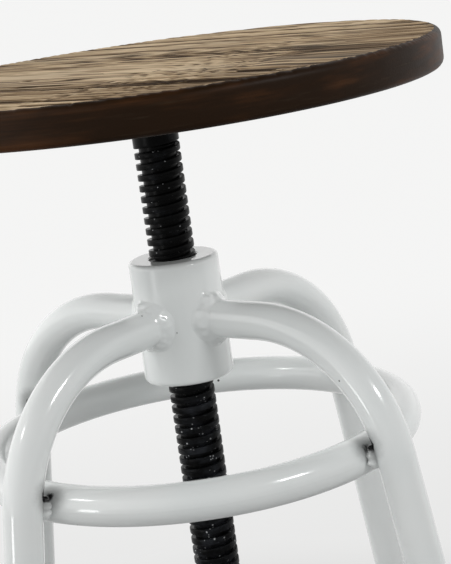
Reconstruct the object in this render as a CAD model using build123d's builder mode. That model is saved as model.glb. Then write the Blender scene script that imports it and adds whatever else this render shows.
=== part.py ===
"""Screw-adjusted swivel stool: a round wooden seat on a threaded spindle in a four-legged tube frame.

Millimetres, +Z up. The origin is on the spindle's axis at floor level, midway between the four feet.
The legs stand on the diagonals, and the seat is modelled part way up its travel.
"""

import os
from math import cos, radians, sin, sqrt, tan

from build123d import *

# ---- driving dimensions: frame ----------------------------------------------------------------
HUB_MID_Z = 385.5          # height of the hub's middle, where the legs join it
HUB_D = 55.0
HUB_H = 75.0
HUB_EDGE = 3.0             # rounding of the hub's two rims

TUBE_D = 22.8              # leg tube
TUBE_WALL = 1.5
LEG_BEND_START = 62.0      # distance from the axis where a leg starts to bend down
LEG_BEND_R = 89.0          # bend radius on the tube's centreline
LEG_SPLAY = 10.0           # degrees from upright, below the bend
LEG_AZIMUTHS = {"front_right": -45.0, "rear_right": 45.0, "rear_left": 135.0, "front_left": 225.0}

RING_BELOW_KNEE = 1.65     # from the end of the legs' bend down to the ring's centreline
RING_TUBE_D = 22.8
RING_WALL = 1.5
VENT_D = 4.0               # vent hole in the underside of the ring
WELD_GAP = 0.2             # gap between ring and leg that the weld bridges

HUB_BEAD = 4.5             # leg length of the fillet weld around each leg's root
HUB_BEAD_CROWN = 2.8       # how far the weld's middle stands out from tube and hub
RING_BEAD_R = 7.5          # reach of the weld around each crossing of ring and leg

CAP_BASE = 5.0             # rubber under the tube's cut end
CAP_SLEEVE = 22.0          # height of the sleeve above the base
CAP_WALL = 1.8
CAP_FIT = 0.15             # radial gap between sleeve and tube
CAP_EDGE = 1.2

# ---- driving dimensions: seat and spindle -----------------------------------------------------
SEAT_RISE = 155.0          # seat's top above the hub's middle, in the modelled position
SEAT_D = 350.0
SEAT_T = 22.0
SEAT_TOP_EDGE = 5.0
SEAT_BOTTOM_EDGE = 4.0

PLATE_D = 130.0
PLATE_T = 4.0
PLATE_EDGE = 0.8
PLATE_MARGIN = 15.0        # from the screw holes' centres to the plate's rim
PLATE_SCREWS = 4

SCREW_D = 5.0              # wood screws
SCREW_L = 20.0
SCREW_HEAD_D = 9.6
SCREW_HEAD_H = 3.2
SCREW_DOME_D = 7.1         # where the head's dome is SCREW_DOME_H below the plate
SCREW_DOME_H = 2.8
SCREW_FLAT_D = 3.8         # flat middle of the head
SCREW_TIP = 4.0
DRIVE_W = 1.2              # cross recess
DRIVE_L = 5.2
DRIVE_DEPTH = 1.8
SCREW_PLAY = 0.25          # radial gap to the plate's hole
PILOT_FIT = 0.05           # radial gap to the pilot hole in the wood

THREAD_D = 28.0            # spindle, over the thread and the plain neck
THREAD_DEPTH = 3.0
THREAD_PITCH = 6.6
THREAD_CREST = 3.0
THREAD_FLANK = 10.0        # degrees, each side
NECK_L = 21.0              # plain neck under the seat plate
SPINDLE_L = 299.0          # from the plate down to the shoulder above the spigot
SPINDLE_CHAMFER = 1.5
NECK_BEAD = 4.0            # fillet weld between neck and plate

THREAD_RADIAL_GAP = 0.3    # running clearance in the hub's thread
THREAD_FLANK_GAP = 0.25
MOUTH_DEPTH = 4.0          # plain counterbore at each end of the hub's thread
MOUTH_GAP = 0.7            # radial gap between counterbore and spindle
MOUTH_CHAMFER = 0.8

# ---- driving dimensions: stop at the spindle's lower end --------------------------------------
STOP_D = 40.0
STOP_T = 3.0
STOP_EDGE = 0.4
SPIGOT_D = 16.0
STOP_RADIAL_GAP = 0.4      # loose on the spigot
STOP_END_GAP = 0.2         # above and below the washer
KEEPER_D = 24.0
KEEPER_T = 2.0
KEEPER_EDGE = 0.3
BOLT_D = 8.0
BOLT_GRIP = 24.0           # length of shank inside the spindle
BOLT_FLATS = 13.0
BOLT_HEAD_H = 5.3
BOLT_HEAD_EDGE = 0.65
BOLT_TIP = 0.8
BOLT_BORE_FIT = 0.05
WASHER_BORE_GAP = 0.2      # radial gap of keeper and spring washer on the bolt
SPRING_D = 14.4
SPRING_T = 2.0
SPRING_SPLIT = 1.2
SPRING_SLANT = 25.0        # degrees that the split leans from upright

# ---- derived places ---------------------------------------------------------------------------
HUB_R = HUB_D / 2
HUB_TOP_Z = HUB_MID_Z + HUB_H / 2
HUB_BOTTOM_Z = HUB_MID_Z - HUB_H / 2
TUBE_R = TUBE_D / 2
RING_TUBE_R = RING_TUBE_D / 2
SPLAY = radians(LEG_SPLAY)
KNEE_R = LEG_BEND_START + LEG_BEND_R * cos(SPLAY)
KNEE_Z = HUB_MID_Z - LEG_BEND_R * (1 - sin(SPLAY))
RING_Z = KNEE_Z - RING_BELOW_KNEE


def leg_reach(height):
    """Distance of a leg's centreline from the axis, at a height below its bend."""
    return KNEE_R + (KNEE_Z - height) * tan(SPLAY)


RING_R = leg_reach(RING_Z) - (TUBE_R + RING_TUBE_R + WELD_GAP) / cos(SPLAY)

SEAT_BOTTOM_Z = HUB_MID_Z + SEAT_RISE - SEAT_T
PLATE_BOTTOM_Z = SEAT_BOTTOM_Z - PLATE_T
SCREW_CIRCLE_R = PLATE_D / 2 - PLATE_MARGIN
THREAD_TOP_Z = PLATE_BOTTOM_Z - NECK_L
SHOULDER_Z = PLATE_BOTTOM_Z - SPINDLE_L
CREST_R = THREAD_D / 2
CORE_R = CREST_R - THREAD_DEPTH
SPIGOT_L = STOP_T + 2 * STOP_END_GAP
SPIGOT_END_Z = SHOULDER_Z - SPIGOT_L
KEEPER_BOTTOM_Z = SPIGOT_END_Z - KEEPER_T
SPRING_BOTTOM_Z = KEEPER_BOTTOM_Z - SPRING_T
GROOVE_START_Z = SHOULDER_Z - THREAD_PITCH

ON_TOP = (Align.CENTER, Align.CENTER, Align.MIN)
OVERSHOOT = 1.0            # how far a cutter runs past the surface it cuts
RUN_OUT_TURNS = 2          # whole turns that the hub's thread cutter runs past each end
CREST_PHASE = 0.5          # the spindle's crest lies half a turn from its groove


# ---- shared geometry --------------------------------------------------------------------------
def radial_plane(azimuth):
    """Upright plane through the axis: its x runs outward along the azimuth, its y runs up."""
    a = radians(azimuth)
    return Plane(origin=(0, 0, 0), x_dir=(cos(a), sin(a), 0), z_dir=(sin(a), -cos(a), 0))


def export_piece(builder, name):
    """Label a finished piece and write it to its own file."""
    builder.part.label = name
    export_step(builder.part, f"parts/{name}.step")


def groove_half_width(radius):
    """Half the axial width of the spindle's thread groove at a radius."""
    return (THREAD_PITCH - THREAD_CREST) / 2 - (CREST_R - radius) * tan(radians(THREAD_FLANK))


def helical_cutter(start_z, end_z, inner_r, outer_r, inner_half, outer_half):
    """A right-hand helix of trapezoid section, to be cut out of a piece."""
    with BuildPart() as cutter:
        with BuildLine() as route:
            Helix(pitch=THREAD_PITCH, height=end_z - start_z, radius=inner_r, center=(0, 0, start_z))
        section = Plane(origin=route.line @ 0, x_dir=(1, 0, 0), z_dir=route.line % 0)
        with BuildSketch(section):
            with BuildLine():
                Polyline(
                    (0, -inner_half),
                    (outer_r - inner_r, -outer_half),
                    (outer_r - inner_r, outer_half),
                    (0, inner_half),
                    close=True,
                )
            make_face()
        sweep(path=route.line, is_frenet=True)
    return cutter.part


def leg_sweep(azimuth, outer_r, inner_r=0.0):
    """A leg's tube, or with no inner radius its solid envelope, from inside the hub to below the floor."""
    with BuildPart() as tube:
        with BuildLine(radial_plane(azimuth)) as route:
            root = Line((HUB_R / 2, HUB_MID_Z), (LEG_BEND_START, HUB_MID_Z))
            bend = JernArc(root @ 1, root % 1, LEG_BEND_R, LEG_SPLAY - 90)
            Line(bend @ 1, (leg_reach(-TUBE_D), -TUBE_D))
        with BuildSketch(Plane(origin=route.line @ 0, z_dir=route.line % 0)):
            Circle(outer_r)
            if inner_r > 0:
                Circle(inner_r, mode=Mode.SUBTRACT)
        sweep(path=route.line)
    return tube.part


# ---- frame ------------------------------------------------------------------------------------
def make_hub():
    """Turned hub with the internal thread that the spindle runs in."""
    ridge_inner = CORE_R + THREAD_RADIAL_GAP
    ridge_outer = CREST_R + THREAD_RADIAL_GAP
    turns_below = int((HUB_BOTTOM_Z - GROOVE_START_Z) / THREAD_PITCH) - RUN_OUT_TURNS
    thread_space = helical_cutter(
        GROOVE_START_Z + (turns_below + CREST_PHASE) * THREAD_PITCH,
        HUB_TOP_Z + RUN_OUT_TURNS * THREAD_PITCH,
        ridge_inner - OVERSHOOT,
        ridge_outer,
        THREAD_PITCH / 2 - groove_half_width(ridge_inner - OVERSHOOT) + THREAD_FLANK_GAP,
        THREAD_PITCH / 2 - groove_half_width(ridge_outer) + THREAD_FLANK_GAP,
    )
    with BuildPart() as hub:
        with Locations((0, 0, HUB_BOTTOM_Z)):
            Cylinder(HUB_R, HUB_H, align=ON_TOP)
        add(thread_space, mode=Mode.SUBTRACT)
        with Locations((0, 0, HUB_BOTTOM_Z)):
            Cylinder(ridge_inner, HUB_H, align=ON_TOP, mode=Mode.SUBTRACT)
        with Locations((0, 0, HUB_BOTTOM_Z), (0, 0, HUB_TOP_Z - MOUTH_DEPTH)):
            Cylinder(CREST_R + MOUTH_GAP, MOUTH_DEPTH, align=ON_TOP, mode=Mode.SUBTRACT)
        circles = hub.edges().filter_by(GeomType.CIRCLE)
        ends = circles.group_by(Axis.Z)[0] + circles.group_by(Axis.Z)[-1]
        chamfer(ends.filter_by(lambda e: e.radius < HUB_R - HUB_EDGE), MOUTH_CHAMFER)
        circles = hub.edges().filter_by(GeomType.CIRCLE)
        fillet(circles.filter_by(lambda e: e.radius > HUB_R - HUB_EDGE), HUB_EDGE)
    export_piece(hub, "hub")


def make_leg(corner, azimuth):
    """One tube leg, coped to the hub and cut level above the floor."""
    tube = leg_sweep(azimuth, TUBE_R, TUBE_R - TUBE_WALL)
    with BuildPart() as leg:
        add(tube)
        with Locations((0, 0, HUB_MID_Z)):
            Cylinder(HUB_R, HUB_H, mode=Mode.SUBTRACT)
        split(bisect_by=Plane.XY.offset(CAP_BASE), keep=Keep.TOP)
    export_piece(leg, f"leg_{corner}")


def make_foot_cap(corner, azimuth):
    """Rubber cap pulled over a leg's lower end, with a flat sole."""
    outer_r = TUBE_R + CAP_FIT + CAP_WALL
    bore = leg_sweep(azimuth, TUBE_R + CAP_FIT)
    sleeve_top = (leg_reach(CAP_BASE + CAP_SLEEVE), CAP_BASE + CAP_SLEEVE)
    with BuildPart() as cap:
        with BuildLine(radial_plane(azimuth)) as route:
            Line(sleeve_top, (leg_reach(-TUBE_D), -TUBE_D))
        with BuildSketch(Plane(origin=route.line @ 0, z_dir=route.line % 0)):
            Circle(outer_r)
        sweep(path=route.line)
        split(bisect_by=Plane.XY, keep=Keep.TOP)
        sole = cap.faces().sort_by(Axis.Z)[0]
        fillet(sole.edges(), CAP_EDGE)
        mouth = cap.faces().sort_by(Axis.Z)[-1]
        fillet(mouth.edges(), CAP_EDGE)
    with BuildPart() as socket:
        add(bore)
        split(bisect_by=Plane.XY.offset(CAP_BASE), keep=Keep.TOP)
    with BuildPart() as foot_cap:
        add(cap.part)
        add(socket.part, mode=Mode.SUBTRACT)
    export_piece(foot_cap, f"foot_cap_{corner}")


def make_hub_weld(corner, azimuth):
    """Fillet weld around a leg's root, on the hub's side."""
    a = radians(azimuth)
    leg_axis = Axis((0, 0, HUB_MID_Z), (cos(a), sin(a), 0))
    toe_r = TUBE_R + HUB_BEAD
    inner = sqrt(HUB_R**2 - toe_r**2) - OVERSHOOT
    with BuildPart() as weld:
        with BuildSketch(radial_plane(azimuth)):
            with BuildLine():
                Polyline(
                    (HUB_R + HUB_BEAD, HUB_MID_Z + TUBE_R),
                    (inner, HUB_MID_Z + TUBE_R),
                    (inner, HUB_MID_Z + toe_r),
                    (HUB_R, HUB_MID_Z + toe_r),
                )
                ThreePointArc(
                    (HUB_R, HUB_MID_Z + toe_r),
                    (HUB_R + HUB_BEAD_CROWN, HUB_MID_Z + TUBE_R + HUB_BEAD_CROWN),
                    (HUB_R + HUB_BEAD, HUB_MID_Z + TUBE_R),
                )
            make_face()
        revolve(axis=leg_axis)
        with Locations((0, 0, HUB_MID_Z)):
            Cylinder(HUB_R, HUB_H, mode=Mode.SUBTRACT)
    export_piece(weld, f"hub_weld_{corner}")


def make_foot_ring():
    """Tube ring that braces the legs from inside and serves as the footrest."""
    with BuildPart() as ring:
        with BuildSketch(Plane.XZ):
            with Locations((RING_R, RING_Z)):
                Circle(RING_TUBE_R)
                Circle(RING_TUBE_R - RING_WALL, mode=Mode.SUBTRACT)
        revolve(axis=Axis.Z)
        with Locations((RING_R, 0, RING_Z - RING_TUBE_R)):
            Cylinder(VENT_D / 2, 2 * RING_WALL, mode=Mode.SUBTRACT)
    export_piece(ring, "foot_ring")


def make_ring_weld(corner, azimuth):
    """Weld that fills the crossing of the ring and a leg."""
    a = radians(azimuth)
    outward = (cos(SPLAY) * cos(a), cos(SPLAY) * sin(a), sin(SPLAY))
    leg_envelope = leg_sweep(azimuth, TUBE_R)
    start = Vector(RING_R * cos(a), RING_R * sin(a), RING_Z)
    with BuildPart() as ring_envelope:
        with BuildSketch(Plane.XZ):
            with Locations((RING_R, RING_Z)):
                Circle(RING_TUBE_R)
        revolve(axis=Axis.Z)
    with BuildPart() as weld:
        with BuildSketch(Plane(origin=start, z_dir=outward)):
            Circle(RING_BEAD_R)
        extrude(amount=TUBE_R + RING_TUBE_R + WELD_GAP)
        add(ring_envelope.part, mode=Mode.SUBTRACT)
        add(leg_envelope, mode=Mode.SUBTRACT)
    export_piece(weld, f"ring_weld_{corner}")


# ---- seat and spindle -------------------------------------------------------------------------
def make_spindle():
    """Threaded spindle with its plain neck, and the spigot and tapped hole at its lower end."""
    groove = helical_cutter(
        GROOVE_START_Z,
        THREAD_TOP_Z - groove_half_width(CREST_R),
        CORE_R,
        CREST_R + OVERSHOOT,
        groove_half_width(CORE_R),
        groove_half_width(CREST_R + OVERSHOOT),
    )
    with BuildPart() as spindle:
        with Locations((0, 0, SHOULDER_Z)):
            Cylinder(CREST_R, SPINDLE_L, align=ON_TOP)
        chamfer(spindle.edges().sort_by(Axis.Z)[0], SPINDLE_CHAMFER)
        add(groove, mode=Mode.SUBTRACT)
        with Locations((0, 0, SPIGOT_END_Z)):
            Cylinder(SPIGOT_D / 2, SPIGOT_L, align=ON_TOP)
            Cylinder(BOLT_D / 2 + BOLT_BORE_FIT, BOLT_GRIP + OVERSHOOT, align=ON_TOP, mode=Mode.SUBTRACT)
    export_piece(spindle, "threaded_spindle")


def make_seat_disc():
    """Round wooden seat with pilot holes in its underside."""
    with BuildPart() as seat:
        with Locations((0, 0, SEAT_BOTTOM_Z)):
            Cylinder(SEAT_D / 2, SEAT_T, align=ON_TOP)
        rims = seat.edges().filter_by(GeomType.CIRCLE).sort_by(Axis.Z)
        fillet(rims[0], SEAT_BOTTOM_EDGE)
        fillet(seat.edges().filter_by(GeomType.CIRCLE).sort_by(Axis.Z)[-1], SEAT_TOP_EDGE)
        with Locations((0, 0, SEAT_BOTTOM_Z)):
            with PolarLocations(SCREW_CIRCLE_R, PLATE_SCREWS):
                pilot_depth = SCREW_L - PLATE_T + OVERSHOOT
                Cylinder(SCREW_D / 2 + PILOT_FIT, pilot_depth, align=ON_TOP, mode=Mode.SUBTRACT)
    export_piece(seat, "seat_disc")


def make_seat_plate():
    """Steel plate that carries the seat on the spindle's neck."""
    with BuildPart() as plate:
        with Locations((0, 0, PLATE_BOTTOM_Z)):
            Cylinder(PLATE_D / 2, PLATE_T, align=ON_TOP)
        chamfer(plate.edges().sort_by(Axis.Z)[0], PLATE_EDGE)
        with Locations((0, 0, PLATE_BOTTOM_Z)):
            with PolarLocations(SCREW_CIRCLE_R, PLATE_SCREWS):
                Cylinder(SCREW_D / 2 + SCREW_PLAY, PLATE_T, align=ON_TOP, mode=Mode.SUBTRACT)
    export_piece(plate, "seat_plate")


def make_plate_weld():
    """Fillet weld between the spindle's neck and the seat plate."""
    with BuildPart() as weld:
        with BuildSketch(Plane.XZ):
            with BuildLine():
                Polyline(
                    (CREST_R, PLATE_BOTTOM_Z - NECK_BEAD),
                    (CREST_R, PLATE_BOTTOM_Z),
                    (CREST_R + NECK_BEAD, PLATE_BOTTOM_Z),
                    close=True,
                )
            make_face()
        revolve(axis=Axis.Z)
    export_piece(weld, "plate_weld")


def make_seat_screws():
    """Pan-head wood screws that hold the plate to the seat."""
    with BuildPart() as screw:
        with BuildSketch(Plane.XZ):
            with BuildLine():
                outline = Polyline(
                    (0, SCREW_L),
                    (SCREW_D / 2, SCREW_L - SCREW_TIP),
                    (SCREW_D / 2, 0),
                    (SCREW_HEAD_D / 2, 0),
                    (SCREW_HEAD_D / 2, -SCREW_HEAD_H / 2),
                )
                ThreePointArc(
                    outline @ 1,
                    (SCREW_DOME_D / 2, -SCREW_DOME_H),
                    (SCREW_FLAT_D / 2, -SCREW_HEAD_H),
                )
                Line((SCREW_FLAT_D / 2, -SCREW_HEAD_H), (0, -SCREW_HEAD_H))
                Line((0, -SCREW_HEAD_H), (0, SCREW_L))
            make_face()
        revolve(axis=Axis.Z)
        with Locations((0, 0, -SCREW_HEAD_H)):
            Box(DRIVE_L, DRIVE_W, 2 * DRIVE_DEPTH, mode=Mode.SUBTRACT)
            Box(DRIVE_W, DRIVE_L, 2 * DRIVE_DEPTH, mode=Mode.SUBTRACT)
    with BuildPart() as screws:
        with Locations((0, 0, PLATE_BOTTOM_Z)):
            with PolarLocations(SCREW_CIRCLE_R, PLATE_SCREWS):
                add(screw.part)
    export_piece(screws, "seat_screws")


# ---- stop at the spindle's lower end ----------------------------------------------------------
def make_washer(name, bottom_z, outer_r, bore_r, thickness, edge):
    """A flat washer on the axis."""
    with BuildPart() as washer:
        with Locations((0, 0, bottom_z)):
            Cylinder(outer_r, thickness, align=ON_TOP)
        chamfer(washer.edges().filter_by(GeomType.CIRCLE), edge)
        with Locations((0, 0, bottom_z)):
            Cylinder(bore_r, thickness, align=ON_TOP, mode=Mode.SUBTRACT)
    export_piece(washer, name)


def make_spring_washer():
    """Split spring washer under the bolt's head."""
    with BuildPart() as washer:
        with Locations((0, 0, SPRING_BOTTOM_Z)):
            Cylinder(SPRING_D / 2, SPRING_T, align=ON_TOP)
            Cylinder(BOLT_D / 2 + WASHER_BORE_GAP, SPRING_T, align=ON_TOP, mode=Mode.SUBTRACT)
        with Locations(Location((SPRING_D / 2, 0, SPRING_BOTTOM_Z + SPRING_T / 2), (SPRING_SLANT, 0, 0))):
            Box(SPRING_D, SPRING_SPLIT, 4 * SPRING_T, mode=Mode.SUBTRACT)
    export_piece(washer, "spring_washer")


def make_stop_bolt():
    """Hexagon bolt that holds the stop washer on the spigot."""
    with BuildPart() as bolt:
        with BuildSketch(Plane.XY.offset(SPRING_BOTTOM_Z - BOLT_HEAD_H)):
            RegularPolygon(BOLT_FLATS / 2, 6, major_radius=False)
        extrude(amount=BOLT_HEAD_H)
        head_floor = bolt.faces().sort_by(Axis.Z)[0]
        chamfer(head_floor.edges(), BOLT_HEAD_EDGE)
        with Locations((0, 0, SPRING_BOTTOM_Z)):
            shank = SPIGOT_END_Z - SPRING_BOTTOM_Z + BOLT_GRIP
            Cylinder(BOLT_D / 2, shank, align=ON_TOP)
        chamfer(bolt.edges().filter_by(GeomType.CIRCLE).sort_by(Axis.Z)[-1], BOLT_TIP)
    export_piece(bolt, "stop_bolt")


def main():
    """Build and write every piece."""
    os.makedirs("parts", exist_ok=True)
    make_hub()
    make_foot_ring()
    for corner, azimuth in LEG_AZIMUTHS.items():
        make_leg(corner, azimuth)
        make_foot_cap(corner, azimuth)
        make_hub_weld(corner, azimuth)
        make_ring_weld(corner, azimuth)
    make_spindle()
    make_seat_disc()
    make_seat_plate()
    make_plate_weld()
    make_seat_screws()
    stop_bottom_z = SHOULDER_Z - STOP_END_GAP - STOP_T
    make_washer("stop_washer", stop_bottom_z, STOP_D / 2, SPIGOT_D / 2 + STOP_RADIAL_GAP, STOP_T, STOP_EDGE)
    keeper_bore_r = BOLT_D / 2 + WASHER_BORE_GAP
    make_washer("keeper_washer", KEEPER_BOTTOM_Z, KEEPER_D / 2, keeper_bore_r, KEEPER_T, KEEPER_EDGE)
    make_spring_washer()
    make_stop_bolt()


main()
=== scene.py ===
"""Screw-adjusted swivel stool: a brushed wooden seat on a black threaded spindle in a white tube frame.

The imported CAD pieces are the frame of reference. What shows of them either takes a better finish here,
or is replaced by a piece that follows the same sizes and carries the detail of the real thing.
Everything is in metres, with the spindle's axis on Z and the floor at Z = 0.
"""

import logging
import math
from dataclasses import dataclass
from enum import Enum

import bmesh
import bpy
import numpy as np
from mathutils import Matrix, Vector


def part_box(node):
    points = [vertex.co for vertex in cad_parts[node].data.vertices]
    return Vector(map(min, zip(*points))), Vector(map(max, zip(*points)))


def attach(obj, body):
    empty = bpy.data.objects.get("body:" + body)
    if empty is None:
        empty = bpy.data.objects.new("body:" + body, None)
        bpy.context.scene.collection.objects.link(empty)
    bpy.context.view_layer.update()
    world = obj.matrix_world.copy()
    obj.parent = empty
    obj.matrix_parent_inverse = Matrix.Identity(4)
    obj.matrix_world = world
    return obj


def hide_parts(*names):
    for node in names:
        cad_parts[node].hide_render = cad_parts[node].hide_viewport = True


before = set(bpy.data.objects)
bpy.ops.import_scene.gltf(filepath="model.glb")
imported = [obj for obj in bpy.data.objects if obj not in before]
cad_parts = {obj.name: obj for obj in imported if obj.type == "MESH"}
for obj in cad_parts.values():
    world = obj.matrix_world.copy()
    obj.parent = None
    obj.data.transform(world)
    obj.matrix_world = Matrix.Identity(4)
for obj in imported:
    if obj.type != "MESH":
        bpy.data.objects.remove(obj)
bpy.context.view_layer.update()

MM = 0.001
HUB_MIDDLE = 385.5 * MM              # the height at which the legs join the hub
GRAIN_AZIMUTH = math.radians(-45.0)  # the way the seat's grain runs, about Z from +X
LOG = logging.getLogger("stool")

Color = tuple[float, float, float]
Cells = tuple[float, float, float]  # a pattern's cells to the metre along, across and through the grain
Value = "Wire | float"


# ---- what the pieces are called ----------------------------------------------------------------
class Body(Enum):
    """The moving bodies of the stool."""

    FRAME = "frame"
    LIFT = "lift"
    SEAT = "seat"


class Slot(Enum):
    """The record's material slots."""

    FRAME = "powder_coat"
    WOOD = "seat_wood"
    SPINDLE = "spindle_black"
    PLATE = "plate_black"
    FIXINGS = "zinc_steel"
    FEET = "foot_rubber"


class Corner(Enum):
    """The four legs, each with the direction it stands in, in degrees from +X."""

    FRONT_RIGHT = ("front_right", -45.0)
    REAR_RIGHT = ("rear_right", 45.0)
    REAR_LEFT = ("rear_left", 135.0)
    FRONT_LEFT = ("front_left", 225.0)

    @property
    def label(self) -> str:
        """The corner's name as it ends the names of its pieces."""
        return self.value[0]

    @property
    def azimuth(self) -> float:
        """The direction of the leg in radians."""
        return math.radians(self.value[1])

    @property
    def number(self) -> int:
        """The corner's place in the order of the legs."""
        return list(Corner).index(self)


# ---- shader maths ------------------------------------------------------------------------------
class Wire:
    """A number that varies over a surface: one output socket, with arithmetic that adds Math nodes."""

    def __init__(self, graph: "Graph", socket: bpy.types.NodeSocket) -> None:
        """Wraps one output socket of a graph's node."""
        self.graph = graph
        self.socket = socket

    def _math(self, operation: str, first: Value, second: Value = 0.0) -> "Wire":
        """A Math node on two values."""
        return self.graph.out("ShaderNodeMath", "Value", {"operation": operation}, {0: first, 1: second})

    def __add__(self, other: Value) -> "Wire":
        """The sum of two values."""
        return self._math("ADD", self, other)

    def __radd__(self, other: Value) -> "Wire":
        """The sum of two values."""
        return self._math("ADD", other, self)

    def __sub__(self, other: Value) -> "Wire":
        """The difference of two values."""
        return self._math("SUBTRACT", self, other)

    def __rsub__(self, other: Value) -> "Wire":
        """The difference of two values, this one taken away."""
        return self._math("SUBTRACT", other, self)

    def __mul__(self, other: Value) -> "Wire":
        """The product of two values."""
        return self._math("MULTIPLY", self, other)

    def __rmul__(self, other: Value) -> "Wire":
        """The product of two values."""
        return self._math("MULTIPLY", other, self)

    def __truediv__(self, other: Value) -> "Wire":
        """This value divided by another."""
        return self._math("DIVIDE", self, other)

    def larger(self, other: Value) -> "Wire":
        """The larger of two values."""
        return self._math("MAXIMUM", self, other)

    def smaller(self, other: Value) -> "Wire":
        """The smaller of two values."""
        return self._math("MINIMUM", self, other)

    def step(self, low: float, high: float) -> "Wire":
        """A smooth step from 0 at low to 1 at high; low above high turns it round.

        Args:
            low: The value that gives 0.
            high: The value that gives 1.

        Returns:
            The step as a value from 0 to 1.
        """
        settings = {"interpolation_type": "SMOOTHSTEP"}
        inputs = {"Value": self, "From Min": low, "From Max": high}
        return self.graph.out("ShaderNodeMapRange", "Result", settings, inputs)


class Graph:
    """The node tree of one material or world, with one method that adds any node."""

    def __init__(self, tree: bpy.types.NodeTree) -> None:
        """Starts from an empty copy of the tree."""
        tree.nodes.clear()
        self.tree = tree

    def node(self, kind: str, settings: dict | None = None, inputs: dict | None = None) -> bpy.types.Node:
        """Adds a node.

        Args:
            kind: The node's type, such as "ShaderNodeMath".
            settings: The node's own properties, set before its sockets; "stops" fills a colour ramp.
            inputs: Values, colours, wires or sockets, by the input's name or number.

        Returns:
            The new node.
        """
        node = self.tree.nodes.new(kind)
        for key, value in (settings or {}).items():
            if key == "stops":
                ramp = node.color_ramp
                while len(ramp.elements) < len(value):
                    ramp.elements.new(0.5)
                for element, (place, color) in zip(ramp.elements, value):
                    element.position = place
                    element.color = (*color, 1.0)
            else:
                setattr(node, key, value)
        for key, value in (inputs or {}).items():
            target = node.inputs[key]
            if isinstance(value, Wire):
                self.tree.links.new(value.socket, target)
            elif isinstance(value, bpy.types.NodeSocket):
                self.tree.links.new(value, target)
            elif isinstance(value, tuple) and len(value) == 3 and target.type == "RGBA":
                target.default_value = (*value, 1.0)
            else:
                target.default_value = value
        return node

    def out(self, kind: str, output: str, settings: dict | None = None, inputs: dict | None = None) -> Wire:
        """Adds a node and gives one of its outputs, as node() does."""
        return Wire(self, self.node(kind, settings, inputs).outputs[output])

    def mix(self, amount: Value, first: "Color | Wire", second: "Color | Wire", blend: str = "MIX") -> Wire:
        """A colour between two colours.

        Args:
            amount: 0 for the first colour, 1 for the second.
            first: The colour below.
            second: The colour on top.
            blend: The way that they are mixed.

        Returns:
            The mixed colour.
        """
        settings = {"data_type": "RGBA", "blend_type": blend}
        node = self.node("ShaderNodeMix", settings, {0: amount, 6: first, 7: second})
        return Wire(self, node.outputs[2])

    def place(self, scale: tuple[float, float, float] = (1.0, 1.0, 1.0), turn: float = 0.0) -> Wire:
        """Object coordinates, turned about Z and then stretched.

        Args:
            scale: The factor along each axis after the turn.
            turn: The turn about Z in radians.

        Returns:
            The coordinates.
        """
        where = self.out("ShaderNodeTexCoord", "Object")
        turned = self.out("ShaderNodeVectorRotate", "Vector", {"rotation_type": "Z_AXIS"},
                          {"Vector": where, "Angle": turn})
        return self.out("ShaderNodeVectorMath", "Vector", {"operation": "MULTIPLY"}, {0: turned, 1: scale})

    def noise(self, where: Wire, cells: float, detail: float = 3.0, rough: float = 0.55) -> Wire:
        """Fractal noise from 0 to 1 with its middle at 0.5, with so many cells to the metre."""
        inputs = {"Vector": where, "Scale": cells, "Detail": detail, "Roughness": rough}
        return self.out("ShaderNodeTexNoise", "Fac", {}, inputs)

    def specks(self, where: Wire, cells: float, share: float, size: float) -> Wire:
        """Sparse round specks, 1 at their middles.

        Args:
            where: The coordinates.
            cells: Cells to the metre.
            share: The share of the cells that hold a speck.
            size: The speck's radius as a share of a cell.

        Returns:
            The mask of the specks.
        """
        pattern = self.node("ShaderNodeTexVoronoi", {}, {"Vector": where, "Scale": cells})
        chosen = self.out("ShaderNodeSeparateColor", "Red", {}, {"Color": pattern.outputs["Color"]})
        near = Wire(self, pattern.outputs["Distance"]).step(size, size * 0.4)
        return near * chosen.step(share, share * 0.98)

    def grain(self, cells: Cells, detail: float = 3.0, rough: float = 0.55) -> Wire:
        """Fractal noise drawn out along the seat's grain."""
        return self.noise(self.place(cells, -GRAIN_AZIMUTH), 1.0, detail, rough)

    def bump(self, height: Wire, depth: float) -> Wire:
        """A normal that leans as a height does, with a height of 1 worth a depth in metres."""
        return self.out("ShaderNodeBump", "Normal", {},
                        {"Strength": 1.0, "Distance": depth, "Height": height})

    def apart(self, where: Wire, spot: tuple[float, float, float]) -> Wire:
        """The distance of the coordinates from a spot."""
        return self.out("ShaderNodeVectorMath", "Value", {"operation": "DISTANCE"}, {0: where, 1: spot})

    def split(self, where: Wire) -> tuple[Wire, Wire, Wire]:
        """The three parts of a place or a direction."""
        parts = self.node("ShaderNodeSeparateXYZ", {}, {"Vector": where})
        return tuple(Wire(self, parts.outputs[name]) for name in "XYZ")


def surface(name: str) -> tuple[bpy.types.Material, Graph]:
    """A new material and its empty graph.

    Args:
        name: The material's name.

    Returns:
        The material and the graph of its nodes.
    """
    material = bpy.data.materials.new(name)
    material.use_nodes = True
    return material, Graph(material.node_tree)


def finish_with(graph: Graph, inputs: dict) -> None:
    """Ends a graph with the Principled shader and the material's output."""
    shader = graph.node("ShaderNodeBsdfPrincipled", {}, inputs)
    graph.node("ShaderNodeOutputMaterial", {}, {"Surface": shader.outputs["BSDF"]})


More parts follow.
